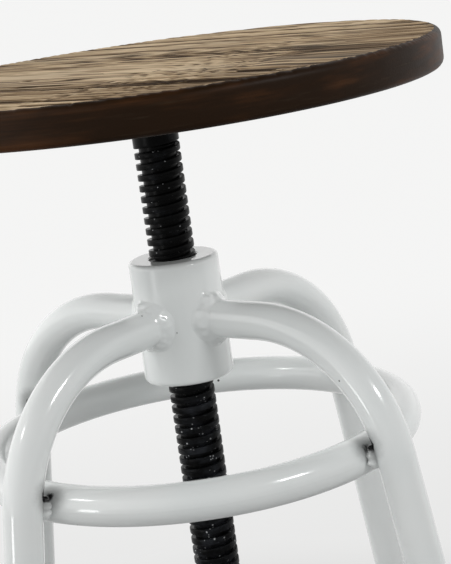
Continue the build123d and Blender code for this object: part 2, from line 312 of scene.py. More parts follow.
# ---- finishes ----------------------------------------------------------------------------------
@dataclass(frozen=True)
class PowderCoat:
    """Glossy white powder coat: faint orange peel, tone drift, pinholes, painted shade in the gaps where the
    foot ring meets the legs and a painted shadow round them.
    """

    color: Color = (0.885, 0.908, 0.900)
    shade: Color = (0.850, 0.882, 0.876)
    pinhole: Color = (0.03, 0.03, 0.028)
    # painted shade: the near-black of the gaps where the foot ring meets the legs, also used for the painted
    # shadow round them
    gap_shade: Color = (0.012, 0.012, 0.013)
    drift_cells: float = 14.0
    peel_cells: float = 420.0
    flow_cells: float = 60.0
    peel_depth: float = 0.005 * MM
    pits: tuple[float, float, float] = (38.0, 0.10, 0.030)  # cells to the metre, share and size
    dots: tuple[tuple[float, float, float, float], ...] = (  # the place and radius of single pits, in mm
        (-23.8, -30.3, 395.9, 0.65), (21.4, 113.2, 310.3, 0.95), (21.4, -20.9, 370.5, 0.45),
        (-4.7, -27.1, 381.7, 0.4))
    crevice: tuple[float, float, float] = (0.1385, 0.0078, 0.3198)  # out, beside and up, where ring meets leg
    crevice_radius: float = 5.4 * MM
    crevice_ragged: float = 3.0 * MM
    ragged_cells: float = 300.0
    shadow_strength: float = 0.45            # how dark the painted shadow of the leg on the ring turns the coat round a crevice
    shadow_reach: float = 2.6       # how far that goes, in crevice radii

    def from_crevice(self, graph: Graph, where: Wire) -> Wire:
        """The ragged distance from the nearest of the eight crevices between the ring and the legs.

        Args:
            graph: The finish's graph.
            where: Object coordinates.

        Returns:
            The distance in metres.
        """
        folded = graph.out("ShaderNodeVectorMath", "Vector", {"operation": "ABSOLUTE"},
                           {0: graph.place(turn=math.radians(45.0))})
        first, second, up = graph.split(folded)
        beside = graph.out("ShaderNodeCombineXYZ", "Vector", {}, {
            "X": first.larger(second), "Y": first.smaller(second), "Z": up})
        ragged = (graph.noise(where, self.ragged_cells) - 0.5) * self.crevice_ragged
        return graph.apart(beside, self.crevice) + ragged

    def material(self) -> bpy.types.Material:
        """Builds the finish.

        Returns:
            The material.
        """
        material, graph = surface("powder_coat")
        where = graph.place()
        pits = graph.specks(where, *self.pits)
        for *place, radius in self.dots:
            away = graph.apart(where, tuple(value * MM for value in place))
            pits = pits.larger(away.step(radius * MM, radius * 0.7 * MM))
        drift = graph.noise(where, self.drift_cells, 2.0)
        tone = graph.mix(drift.step(0.35, 0.7), self.color, self.shade)
        away = self.from_crevice(graph, where)
        # painted shade: nearly black in the gap where the ring meets a leg
        painted_gap_shade = away.step(self.crevice_radius, self.crevice_radius * 0.72)
        # painted shadow: the leg's shadow on the ring, a soft darkening round each crevice
        painted_leg_shadow = away.step(self.crevice_radius * self.shadow_reach, self.crevice_radius) * self.shadow_strength
        coat = graph.mix(pits, graph.mix(painted_leg_shadow, tone, self.gap_shade), self.pinhole)
        peel = graph.noise(where, self.peel_cells, 1.5, 0.4)
        flow = graph.noise(where, self.flow_cells, 1.0)
        finish_with(graph, {"Base Color": graph.mix(painted_gap_shade, coat, self.gap_shade),
                            "Roughness": 0.13 + 0.06 * drift + pits * 0.4,
                            "Normal": graph.bump(peel + flow * 3.0 - pits * 12.0, self.peel_depth),
                            "Coat Weight": 0.5, "Coat Roughness": 0.03})
        return material


@dataclass(frozen=True)
class BlackSpindleSteel:
    """Blackened and oiled screw steel with dust specks and crests where the black is a little rubbed off."""

    color: Color = (0.0018, 0.0018, 0.0019)
    worn: Color = (0.024, 0.026, 0.031)
    dust: Color = (0.50, 0.51, 0.52)
    grain_cells: float = 900.0
    cloud_cells: float = 90.0
    fine_dust: tuple[float, float, float] = (620.0, 0.10, 0.34)   # cells to the metre, share and size
    thick_dust: tuple[float, float, float] = (480.0, 0.16, 0.36)  # the same, below the hub
    dusty_below: float = 345.0 * MM
    dusty_fade: float = 20.0 * MM

    def material(self) -> bpy.types.Material:
        """Builds the finish.

        Returns:
            The material.
        """
        material, graph = surface("spindle_black")
        where = graph.place()
        grain = graph.noise(where, self.grain_cells)
        cloud = graph.noise(where, self.cloud_cells)
        low = graph.split(where)[2].step(self.dusty_below, self.dusty_below - self.dusty_fade)
        dust = (graph.specks(where, *self.fine_dust) * cloud.step(0.46, 0.60)
                + graph.specks(where, *self.thick_dust) * cloud.step(0.44, 0.56) * low)
        rubbed = cloud.step(0.52, 0.75) * 0.5 + low * cloud.step(0.40, 0.62) * 0.5
        color = graph.mix(dust, graph.mix(rubbed, self.color, self.worn), self.dust)
        normal = graph.bump(grain + cloud * 2.0 + dust, 0.03 * MM)
        roughness = 0.20 + 0.22 * cloud + dust * 0.3
        finish_with(graph, {"Base Color": color, "Roughness": roughness, "Normal": normal,
                            "Specular IOR Level": 0.09})
        return material


@dataclass(frozen=True)
class SatinBlackPaint:
    """Satin black paint on the steel under the seat, with fine texture and thin scuffs."""

    color: Color = (0.018, 0.018, 0.019)
    scuff: Color = (0.07, 0.068, 0.065)
    grain_cells: float = 700.0
    cloud_cells: float = 30.0
    scratches: tuple[float, float, float] = (40.0, 900.0, 900.0)
    scratch_turn: float = 0.6
    grain_depth: float = 0.02 * MM

    def material(self) -> bpy.types.Material:
        """Builds the finish.

        Returns:
            The material.
        """
        material, graph = surface("plate_black")
        where = graph.place()
        grain = graph.noise(where, self.grain_cells)
        cloud = graph.noise(where, self.cloud_cells, 4.0)
        scratch = graph.noise(graph.place(self.scratches, self.scratch_turn), 1.0, 2.0).step(0.68, 0.74)
        color = graph.mix(scratch * cloud, self.color, self.scuff)
        normal = graph.bump(grain + scratch, self.grain_depth)
        finish_with(graph, {"Base Color": color, "Roughness": 0.42 + 0.2 * cloud, "Normal": normal})
        return material


@dataclass(frozen=True)
class ZincPlate:
    """Bright zinc plate: cool grey metal with faint spangle and dull spots."""

    color: Color = (0.56, 0.57, 0.58)
    dull: Color = (0.36, 0.36, 0.35)
    spangle_cells: float = 500.0
    cloud_cells: float = 160.0
    grain_cells: float = 1500.0
    grain_depth: float = 0.008 * MM

    def material(self) -> bpy.types.Material:
        """Builds the finish.

        Returns:
            The material.
        """
        material, graph = surface("zinc_steel")
        where = graph.place()
        pattern = graph.node("ShaderNodeTexVoronoi", {}, {"Vector": where, "Scale": self.spangle_cells})
        spangle = graph.out("ShaderNodeSeparateColor", "Red", {}, {"Color": pattern.outputs["Color"]})
        cloud = graph.noise(where, self.cloud_cells, 4.0)
        color = graph.mix(cloud.step(0.45, 0.75), self.color, self.dull)
        normal = graph.bump(graph.noise(where, self.grain_cells, 2.0) + spangle * 0.4, self.grain_depth)
        roughness = 0.26 + 0.10 * spangle + 0.20 * cloud
        finish_with(graph, {"Base Color": color, "Metallic": 1.0, "Roughness": roughness, "Normal": normal})
        return material


@dataclass(frozen=True)
class FootRubber:
    """Matt black rubber with a fine moulded grain and a grey bloom."""

    color: Color = (0.014, 0.014, 0.014)
    bloom: Color = (0.045, 0.044, 0.042)
    grain_cells: float = 1100.0
    cloud_cells: float = 70.0
    grain_depth: float = 0.05 * MM

    def material(self) -> bpy.types.Material:
        """Builds the finish.

        Returns:
            The material.
        """
        material, graph = surface("foot_rubber")
        where = graph.place()
        grain = graph.noise(where, self.grain_cells, 2.0)
        cloud = graph.noise(where, self.cloud_cells, 4.0)
        color = graph.mix(cloud.step(0.4, 0.75), self.color, self.bloom)
        normal = graph.bump(grain, self.grain_depth)
        finish_with(graph, {"Base Color": color, "Roughness": 0.55 + 0.2 * cloud, "Normal": normal})
        return material


@dataclass(frozen=True)
class BrushedTop:
    """Weathered, wire-brushed wood: pale proud late wood and brown soft wood, partly their own colours and
    partly painted light and shade of the relief; dark cracks, fine fibres.
    """

    pale: Color = (0.76, 0.590, 0.390)
    light: Color = (0.50, 0.368, 0.226)
    brown: Color = (0.26, 0.174, 0.098)
    deep: Color = (0.046, 0.027, 0.014)
    crack: Color = (0.014, 0.009, 0.005)
    grey: Color = (0.34, 0.29, 0.22)
    warm: Color = (0.38, 0.235, 0.12)
    stain: Color = (0.030, 0.017, 0.009)
    fibres: Cells = (7.0, 620.0, 620.0)
    strands: Cells = (3.5, 240.0, 240.0)
    bands: Cells = (3.0, 70.0, 70.0)
    patches: Cells = (9.0, 30.0, 30.0)
    ridges: Cells = (2.0, 170.0, 170.0)
    gullies: Cells = (1.6, 260.0, 260.0)
    fibre_depth: float = 0.30 * MM

    def material(self) -> bpy.types.Material:
        """Builds the finish from the relief, crack, tone and rim that the seat's mesh carries.

        Returns:
            The material.
        """
        material, graph = surface("seat_wood_brushed_top")
        relief, crack, tone, rim = (graph.out("ShaderNodeAttribute", "Fac", {"attribute_name": name})
                                    for name in ("relief", "crack", "tone", "rim"))
        fibre = graph.grain(self.fibres, 4.0, 0.6)
        strand = graph.grain(self.strands, 2.0)
        band = graph.grain(self.bands)
        patch = graph.grain(self.patches)
        ridge = graph.grain(self.ridges, 1.0, 0.4)
        gully = graph.grain(self.gullies, 1.0, 0.4)
        # the colour is lighter where the relief stands proud and darker in the brushed-out grooves, and the
        # ridge and gully lines add lighter and darker lines; this is partly the woods' own colours, partly
        # painted light and painted shade of the relief
        level = (0.36 + relief * 0.36 + (fibre - 0.5) * 1.5 + (strand - 0.5) * 1.2
                 + (band - 0.5) * 0.7 + (tone - 0.5) * 0.42
                 + 0.34 * ridge.step(0.55, 0.61) - 0.52 * gully.step(0.44, 0.38))
        stops = [(0.06, self.deep), (0.36, self.brown), (0.60, self.light), (0.95, self.pale)]
        ramp = graph.out("ShaderNodeValToRGB", "Color", {"stops": stops}, {"Fac": level})
        greyed = graph.mix(patch.step(0.46, 0.72) * 0.28, ramp, self.grey)
        warmed = graph.mix(band.step(0.56, 0.76) * 0.4, greyed, self.warm)
        cracked = graph.mix(crack, warmed, self.crack)
        color = graph.mix((rim + (strand - 0.5) * 0.6).step(1.0, 1.25), cracked, self.stain)
        normal = graph.bump(fibre + strand * 0.8, self.fibre_depth)
        finish_with(graph, {"Base Color": color, "Roughness": 0.70 + 0.2 * fibre, "Normal": normal,
                            "Specular IOR Level": 0.1})
        return material


@dataclass(frozen=True)
class StainedEdge:
    """Dark walnut stain under satin lacquer, with red-brown patches where the stain is thin."""

    color: Color = (0.0185, 0.0085, 0.0032)
    red: Color = (0.092, 0.034, 0.0105)
    grey: Color = (0.044, 0.030, 0.018)
    streaks: Cells = (7.0, 26.0, 300.0)
    patches: Cells = (9.0, 18.0, 60.0)
    pores: Cells = (60.0, 900.0, 900.0)
    pore_depth: float = 0.12 * MM

    def material(self) -> bpy.types.Material:
        """Builds the finish.

        Returns:
            The material.
        """
        material, graph = surface("seat_wood_stained_edge")
        streak = graph.grain(self.streaks, 4.0, 0.6)
        patch = graph.grain(self.patches)
        pores = graph.grain(self.pores, 2.0)
        redness = patch.step(0.42, 0.72) * streak.step(0.30, 0.66)
        stained = graph.mix(redness * 0.8, self.color, self.red)
        color = graph.mix(streak.step(0.58, 0.78) * 0.5, stained, self.grey)
        normal = graph.bump(streak + pores * 0.5, self.pore_depth)
        roughness = 0.33 + 0.16 * streak + 0.10 * pores
        finish_with(graph, {"Base Color": color, "Roughness": roughness, "Normal": normal,
                            "Specular IOR Level": 0.10})
        return material


# ---- meshes ------------------------------------------------------------------------------------
def solid(name: str, points: np.ndarray, faces: list, finishes: list[bpy.types.Material],
          which: list[int] | None = None, smooth: bool = True) -> bpy.types.Object:
    """Makes a mesh object at the origin.

    Args:
        name: The piece's name.
        points: Its vertices in metres, one row each.
        faces: The vertex numbers of each face, turning left seen from outside.
        finishes: The materials in its slots.
        which: The slot of each face, or None for the first.
        smooth: Whether the faces shade smooth.

    Returns:
        The object, linked to the scene.
    """
    mesh = bpy.data.meshes.new(name)
    mesh.from_pydata(points.tolist(), [], faces)
    for finish in finishes:
        mesh.materials.append(finish)
    if which is not None:
        mesh.polygons.foreach_set("material_index", which)
    mesh.polygons.foreach_set("use_smooth", [smooth] * len(mesh.polygons))
    mesh.validate()
    piece = bpy.data.objects.new(name, mesh)
    bpy.context.scene.collection.objects.link(piece)
    return piece


def lathed(name: str, outline: list[tuple[float, float]], segments: int,
           finish: bpy.types.Material) -> bpy.types.Object:
    """Turns an outline of (radius, height) points about Z; it starts and ends on the axis.

    Args:
        name: The piece's name.
        outline: The points from the lowest on the axis to the highest on the axis.
        segments: How many faces go round.
        finish: Its material.

    Returns:
        The turned object.
    """
    angles = np.arange(segments) * 2 * math.pi / segments
    inner = outline[1:-1]
    rings = [np.column_stack((r * np.cos(angles), r * np.sin(angles), np.full(segments, z)))
             for r, z in inner]
    points = np.vstack([[(0.0, 0.0, outline[0][1])], *rings, [(0.0, 0.0, outline[-1][1])]])
    last = len(points) - 1
    faces = []
    for k in range(segments):
        n = (k + 1) % segments
        faces.append((0, 1 + n, 1 + k))
        for ring in range(len(inner) - 1):
            low, high = 1 + ring * segments, 1 + (ring + 1) * segments
            faces.append((low + k, low + n, high + n, high + k))
        top = 1 + (len(inner) - 1) * segments
        faces.append((top + k, top + n, last))
    return solid(name, points, faces, [finish])


class Weave:
    """Smooth repeatable noise on a plane, for shapes that follow the wood's grain."""

    def __init__(self, seed: int) -> None:
        """Fills the lattice from a fixed seed."""
        self.lattice = np.random.default_rng(seed).random((257, 257))

    def at(self, x: np.ndarray, y: np.ndarray, octaves: int = 1) -> np.ndarray:
        """The noise at each point, with finer octaves added at half strength.

        Args:
            x: Places along the lattice's first side, in cells.
            y: Places along its second side.
            octaves: How many layers are added up.

        Returns:
            The noise, from -1 to 1 for one octave.
        """
        total = np.zeros(np.broadcast(x, y).shape)
        weight = 1.0
        for octave in range(octaves):
            u, v = x * 2**octave + 17.3 * octave, y * 2**octave + 9.1 * octave
            i, j = np.floor(u).astype(int), np.floor(v).astype(int)
            fu, fv = u - i, v - j
            fu, fv = fu * fu * (3 - 2 * fu), fv * fv * (3 - 2 * fv)
            i0, i1, j0, j1 = i % 256, (i + 1) % 256, j % 256, (j + 1) % 256
            near = self.lattice[i0, j0] * (1 - fu) + self.lattice[i1, j0] * fu
            far = self.lattice[i0, j1] * (1 - fu) + self.lattice[i1, j1] * fu
            total += weight * (2 * (near * (1 - fv) + far * fv) - 1)
            weight *= 0.5
        return total


def smooth_step(value: np.ndarray, low: float, high: float) -> np.ndarray:
    """A smooth step from 0 at low to 1 at high."""
    t = np.clip((value - low) / (high - low), 0.0, 1.0)
    return t * t * (3 - 2 * t)


def stands_for(piece: bpy.types.Object, node: str, body: Body) -> None:
    """Puts a piece in the place of a CAD node.

    Args:
        piece: The new piece.
        node: The node's name.
        body: The body that it rides on.
    """
    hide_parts(node)
    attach(piece, body.value)


def outward(piece: bpy.types.Object) -> None:
    """Turns the faces of a closed mesh outwards.

    Args:
        piece: The object whose mesh is changed.
    """
    shape = bmesh.new()
    shape.from_mesh(piece.data)
    bmesh.ops.recalc_face_normals(shape, faces=shape.faces)
    shape.to_mesh(piece.data)
    shape.free()


# ---- seat --------------------------------------------------------------------------------------
@dataclass
class SeatBoard:
    """The round seat: a flat-sawn board whose brushed top follows its growth rings."""

    rows: int = 600               # across the grain
    columns: int = 84             # along the grain
    upper_radius: float = 5.0 * MM
    brushed_round: float = 14.0   # degrees of the upper rounding that the brushed top takes in
    lower_radius: float = 4.0 * MM
    upper_steps: int = 7
    lower_steps: int = 6
    rim_calm: float = 7.0 * MM    # how far in from the rim the relief is sanded softer
    rim_stain: float = 3.0 * MM   # how far in the side's stain reaches
    brush_depth: float = 1.35 * MM
    crack_depth: float = 1.5 * MM
    ring_width: float = 4.8 * MM
    pith_depth: float = 50.0 * MM
    pith_rise: float = 0.06       # the pith comes nearer the top along the grain
    pith_offset: float = -46.0 * MM
    swell: tuple[float, float, float] = (75.0 * MM, 26.0 * MM, 15.0 * MM)  # where, how long, how high
    check: tuple[float, float, float] = (22.0 * MM, -37.0 * MM, 23.0 * MM)  # along, across, half length
    edge_wave: float = 0.12 * MM

    def figure(self, along: np.ndarray, across: np.ndarray) -> tuple[np.ndarray, np.ndarray, np.ndarray]:
        """Relief, crack and tone of the top.

        Args:
            along: Distance along the grain from the middle.
            across: Distance across the grain from the middle.

        Returns:
            The relief from 0 (brushed out) to 1 (proud), the cracks from 0 to 1 and the tone from 0 to 1.
        """
        warp, fine, ragged, mark = Weave(11), Weave(23), Weave(37), Weave(51)
        a, b = along / MM, across / MM  # every length below is in mm

        # growth rings round a pith that wanders and rises to a local swelling
        place, length, rise = (value / MM for value in self.swell)
        depth = self.pith_depth / MM - self.pith_rise * a - rise * np.exp(-((a - place) / length) ** 2)
        middle = self.pith_offset / MM + 7.0 * np.sin(a / 70.0) + 3.0 * warp.at(a / 60.0, 0 * a + 5.5)
        radius = np.hypot(b - middle, depth)
        radius = radius + 3.2 * warp.at(a / 150.0, b / 30.0) + 0.9 * fine.at(a / 48.0, b / 8.0)
        count = radius / (self.ring_width / MM)
        count = count + 0.85 * warp.at(count / 3.1, 0 * count + 3.5)
        ring = np.floor(count)
        share = count - ring

        # late wood stands proud, more in some rings than in others, and the brush leaves scratches
        weight = 0.5 + 0.5 * fine.at(ring * 0.37 + 3.0, 0 * ring + 40.2)
        late = smooth_step(share, 0.10, 0.62) * (1 - smooth_step(share, 0.88, 1.0))
        brush = ragged.at(a / 55.0, b / 1.7, 2)
        relief = np.clip(0.20 + 0.70 * late * (0.45 + 0.55 * weight) + 0.13 * brush, 0.0, 1.0)

        # cracks follow the end of some rings, and one long one crosses the board's middle
        split = 1 - smooth_step(np.abs(share - 0.96), 0.03, 0.13)
        chosen = smooth_step(mark.at(ring * 0.61, a / 75.0 + ring * 3.7), 0.10, 0.42)
        start, aside, half = (value / MM for value in self.check)
        bent = b - aside + 1.2 * np.sin((a - start) / 9.0)
        long_check = np.exp(-(bent / 1.5) ** 2) * (1 - smooth_step(np.abs(a - start), half * 0.75, half))
        crack = np.maximum(split * chosen, long_check)
        tone = 0.6 + 0.35 * mark.at(a / 90.0, b / 22.0, 2) - 0.9 * smooth_step(a, 40.0, 150.0)
        return relief, crack, np.clip(tone, 0.0, 1.0)

    def grid(self, rim: float) -> tuple[np.ndarray, np.ndarray]:
        """The points of the top: rows along the grain that end on the rim, between two single points.

        Args:
            rim: The radius of the top.

        Returns:
            Their distances along and across the grain from the middle.
        """
        rows = np.linspace(-math.pi / 2, math.pi / 2, self.rows + 1)[1:-1]
        reach = np.sin(np.linspace(-math.pi / 2, math.pi / 2, self.columns + 1))
        along = rim * np.outer(np.cos(rows), reach)
        across = rim * np.repeat(np.sin(rows)[:, None], self.columns + 1, axis=1)
        return np.concatenate(([0.0], along.ravel(), [0.0])), np.concatenate(([-rim], across.ravel(), [rim]))

    def top_faces(self) -> tuple[list, list[int]]:
        """The faces of the top.

        Returns:
            The vertex numbers of each face, and those of the top's edge, turning left seen from above.
        """
        width, last = self.columns + 1, (self.columns + 1) * (self.rows - 1) + 1
        faces = []
        for row in range(self.rows - 2):
            for corner in range(1 + row * width, 1 + row * width + self.columns):
                faces.append((corner, corner + 1, corner + width + 1, corner + width))
        for column in range(self.columns):
            faces.append((0, 2 + column, 1 + column))
            end = 1 + (self.rows - 2) * width + column
            faces.append((end, end + 1, last))
        left = [1 + row * width for row in range(self.rows - 1)]
        right = [start + self.columns for start in left]
        return faces, [0, *right, last, *reversed(left)]

    def side(self, outer: float, bottom: float, top: float) -> list[tuple[float, float, float]]:
        """The outline of the side, from the brushed rounding down and in under the board.

        Args:
            outer: The board's radius.
            bottom: The height of its underside.
            top: The height of its top.

        Returns:
            For each ring its inset, its height, and how far it follows the unevenness of the top's edge.
        """
        soft, upper, lower = math.radians(self.brushed_round), self.upper_radius, self.lower_radius
        outline = []
        for step in range(1, self.upper_steps + 1):
            bend = soft + step / self.upper_steps * (math.pi / 2 - soft)
            outline.append((upper * (1 - math.sin(bend)), top - upper * (1 - math.cos(bend)),
                            max(0.0, 1 - step / 5)))
        outline += [(0.0, top - upper - share * (top - upper - bottom - lower), 0.0)
                    for share in (0.25, 0.5, 0.75, 1.0)]
        for step in range(1, self.lower_steps + 1):
            bend = step / self.lower_steps * math.pi / 2
            outline.append((lower * (1 - math.cos(bend)), bottom + lower * (1 - math.sin(bend)), 0.0))
        return outline + [(outer * share, bottom, 0.0) for share in (0.2, 0.5, 0.8)]

    def build(self, top: bpy.types.Material, side: bpy.types.Material) -> bpy.types.Object:
        """Builds the board from its CAD box.

        Args:
            top: The finish of the brushed top.
            side: The finish of the side and the underside.

        Returns:
            The seat.
        """
        low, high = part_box("seat_disc")
        outer = (high[0] - low[0]) / 2
        soft = math.radians(self.brushed_round)
        rim = outer - self.edge_wave - self.upper_radius * (1 - math.sin(soft))
        rim_drop = self.upper_radius * (1 - math.cos(soft))

        along, across = self.grid(rim)
        relief, crack, tone = self.figure(along, across)
        reach = np.hypot(along, across)
        nearness = smooth_step(reach, rim - self.rim_stain, rim)
        depth = 1 - 0.6 * smooth_step(reach, rim - self.rim_calm, rim)
        fall = np.clip(reach - rim + self.upper_radius * math.sin(soft), 0.0, self.upper_radius)
        sunk = self.upper_radius - np.sqrt(self.upper_radius**2 - fall**2)
        sunk += ((1 - relief) * self.brush_depth + crack * self.crack_depth) * depth
        turn = math.cos(GRAIN_AZIMUTH), math.sin(GRAIN_AZIMUTH)
        top_points = np.column_stack((along * turn[0] - across * turn[1], along * turn[1] + across * turn[0],
                                      high[2] - sunk))
        faces, ring = self.top_faces()
        on_top = len(faces)

        edge = top_points[ring]
        angle = np.arctan2(edge[:, 1], edge[:, 0])
        ripple = self.edge_wave * Weave(5).at(angle * 9.0 + 40.0, 0 * angle + 1.5, 2)
        uneven = edge[:, 2] - high[2] + rim_drop
        rings = [top_points]
        above, base, count = np.array(ring), len(top_points), len(ring)
        for inset, height, follow in self.side(outer, low[2], high[2]):
            far = outer - inset - self.edge_wave + ripple * (inset <= self.lower_radius)
            rings.append(np.column_stack((far * np.cos(angle), far * np.sin(angle),
                                          height + uneven * follow)))
            below = np.arange(base, base + count)
            faces += zip(above, below, np.roll(below, -1), np.roll(above, -1))
            above, base = below, base + count
        faces += [(first, base, second) for first, second in zip(above, np.roll(above, -1))]
        points = np.vstack([*rings, [(0.0, 0.0, low[2])]])

        which = [0] * on_top + [1] * (len(faces) - on_top)
        seat = solid("seat_board", points, [tuple(map(int, face)) for face in faces], [top, side], which)
        extra = len(points) - len(top_points)
        for label, values in (("relief", relief), ("crack", crack), ("tone", tone), ("rim", nearness)):
            layer = seat.data.attributes.new(label, "FLOAT", "POINT")
            layer.data.foreach_set("value", np.concatenate((values, np.full(extra, 0.5))).astype(np.float32))
        seat.data.set_sharp_from_angle(angle=math.radians(60))
        stands_for(seat, "seat_disc", Body.SEAT)
        LOG.info("seat board: %d faces", len(faces))
        return seat


# ---- spindle -----------------------------------------------------------------------------------
def growing_tree(name: str, sizes: dict[str, float]) -> bpy.types.NodeTree:
    """A Geometry Nodes tree with named number inputs, a geometry output and no nodes.

    Args:
        name: The tree's name.
        sizes: The name and value of each input.

    Returns:
        The tree.
    """
    tree = bpy.data.node_groups.new(name, "GeometryNodeTree")
    for label, value in sizes.items():
        kind = "NodeSocketInt" if isinstance(value, int) else "NodeSocketFloat"
        tree.interface.new_socket(name=label, in_out="INPUT", socket_type=kind).default_value = value
    tree.interface.new_socket(name="Geometry", in_out="OUTPUT", socket_type="NodeSocketGeometry")
    return tree


def grown(name: str, tree: bpy.types.NodeTree, sizes: dict[str, float]) -> bpy.types.Object:
    """Runs a Geometry Nodes tree and keeps its result as a plain mesh.

    Args:
        name: The piece's name.
        tree: The tree, with an input for each size.
        sizes: The value of each input, by name.

    Returns:
        The object, with no modifier left on it.
    """
    seed = bpy.data.objects.new(name, bpy.data.meshes.new(f"{name}_seed"))
    bpy.context.scene.collection.objects.link(seed)
    modifier = seed.modifiers.new("grow", "NODES")
    modifier.node_group = tree
    for item in tree.interface.items_tree:
        if item.item_type == "SOCKET" and item.in_out == "INPUT" and item.name in sizes:
            modifier[item.identifier] = sizes[item.name]
    bpy.context.view_layer.update()
    evaluated = seed.evaluated_get(bpy.context.evaluated_depsgraph_get())
    mesh = bpy.data.meshes.new_from_object(evaluated)
    seed.modifiers.remove(modifier)
    seed.data = mesh
    return seed


@dataclass
class ThreadedSpindle:
    """The screw: a turned core with a plain neck, and a thread swept round it."""

    crest_radius: float = 14.0 * MM
    core_radius: float = 11.0 * MM
    pitch: float = 6.6 * MM
    crest_width: float = 3.0 * MM
    root_width: float = 4.06 * MM
    neck_height: float = 21.0 * MM
    spigot_radius: float = 8.0 * MM
    spigot_height: float = 3.4 * MM
    edge_round: float = 0.45 * MM
    neck_bevel: float = 1.9 * MM  # how far below the neck the core starts to widen into it
    core_bevel: float = 0.5 * MM
    clearance: float = 0.02 * MM  # the thread stays this far inside the crests' radius
    foot: float = 0.2 * MM        # and starts this far inside the core
    section_turn: float = 90.0    # degrees, so that the section's crest points outwards
    segments: int = 44            # to a turn
    core_segments: int = 96

    @staticmethod
    def choose(node: bpy.types.Node, mode: str) -> None:
        """Sets a node's mode, which is a property in one version and a menu input in another.

        Args:
            node: The node.
            mode: The mode in capitals.
        """
        if hasattr(node, "mode"):
            node.mode = mode
        else:
            node.inputs["Mode"].default_value = mode.title()

    def tree(self, finish: bpy.types.Material, sizes: dict[str, float]) -> bpy.types.NodeTree:
        """The Geometry Nodes tree of the thread: a trapezoid swept along a spiral.

        Args:
            finish: The black finish.
            sizes: The name and value of each of its inputs.

        Returns:
            The tree.
        """
        tree = growing_tree("thread", sizes)
        graph = Graph(tree)
        given = graph.node("NodeGroupInput").outputs
        middle = Wire(graph, given["Crest radius"]) - 0.5 * Wire(graph, given["Depth"])
        spiral = graph.node("GeometryNodeCurveSpiral", {}, {
            "Resolution": given["Segments"], "Rotations": given["Turns"], "Start Radius": middle,
            "End Radius": middle, "Height": given["Rise"], "Reverse": True})
        lift = graph.node("ShaderNodeCombineXYZ", {}, {"Z": given["Start height"]})
        placed = graph.node("GeometryNodeTransform", {}, {"Geometry": spiral.outputs["Curve"],
                                                          "Translation": lift.outputs["Vector"]})
        upright = graph.node("GeometryNodeSetCurveNormal", {"mode": "Z_UP"},
                             {"Curve": placed.outputs["Geometry"]})
        section = graph.node("GeometryNodeCurvePrimitiveQuadrilateral", {"mode": "TRAPEZOID"}, {
            "Height": given["Depth"], "Bottom Width": given["Root width"], "Top Width": given["Crest width"],
            "Offset": 0.0})
        turned = graph.node("GeometryNodeTransform", {}, {
            "Geometry": section.outputs["Curve"], "Rotation": (0.0, 0.0, math.radians(self.section_turn))})
        softened = graph.node("GeometryNodeFilletCurve", {}, {"Curve": turned.outputs["Geometry"],
                                                              "Radius": given["Edge round"]})
        self.choose(softened, "POLY")
        softened.inputs["Count"].default_value = 2
        swept = graph.node("GeometryNodeCurveToMesh", {}, {
            "Curve": upright.outputs["Curve"], "Profile Curve": softened.outputs["Curve"], "Fill Caps": True})
        real = graph.node("GeometryNodeRealizeInstances", {}, {"Geometry": swept.outputs["Mesh"]})
        coated = graph.node("GeometryNodeSetMaterial", {}, {"Geometry": real.outputs["Geometry"],
                                                            "Material": finish})
        graph.node("NodeGroupOutput", {}, {"Geometry": coated.outputs["Geometry"]})
        return tree

    def core(self, finish: bpy.types.Material, low: float, thread_top: float,
             high: float) -> bpy.types.Object:
        """The turned core: spigot, the bar under the thread, and the neck.

        Args:
            finish: The black finish.
            low: The height of the spigot's end.
            thread_top: The height at which the neck starts.
            high: The height of the neck's end.

        Returns:
            The core.
        """
        neck, core, spigot, bevel = self.crest_radius, self.core_radius, self.spigot_radius, self.core_bevel
        shoulder = low + self.spigot_height
        return lathed("spindle_core", [
            (0.0, low), (spigot, low), (spigot, shoulder), (core - bevel, shoulder), (core, shoulder + bevel),
            (core, thread_top - self.neck_bevel), (core + 0.4 * MM, thread_top - self.neck_bevel + 0.4 * MM),
            (neck - 0.3 * MM, thread_top - 0.3 * MM), (neck, thread_top + 0.1 * MM), (neck, high - 8 * MM),
            (neck, high), (0.0, high)], self.core_segments, finish)

    def build(self, finish: bpy.types.Material) -> list[bpy.types.Object]:
        """Builds the core and the thread in the place of the CAD spindle.

        Args:
            finish: The black finish.

        Returns:
            The core and the thread.
        """
        low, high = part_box("threaded_spindle")
        thread_top = high[2] - self.neck_height
        start = low[2] + self.spigot_height + self.pitch / 2
        rise = thread_top + 2.0 * MM - start
        sizes = {"Crest radius": self.crest_radius - self.clearance,
                 "Depth": self.crest_radius - self.core_radius + self.foot,
                 "Crest width": self.crest_width, "Root width": self.root_width, "Rise": rise,
                 "Turns": rise / self.pitch, "Start height": start, "Edge round": self.edge_round,
                 "Segments": self.segments}
        core = self.core(finish, low[2], thread_top, high[2])
        thread = grown("spindle_thread", self.tree(finish, sizes), sizes)
        for piece in (core, thread):
            piece.data.polygons.foreach_set("use_smooth", [True] * len(piece.data.polygons))
            piece.data.set_sharp_from_angle(angle=math.radians(35))
            stands_for(piece, "threaded_spindle", Body.SEAT)
        LOG.info("spindle: core and thread of %.1f turns", rise / self.pitch)
        return [core, thread]


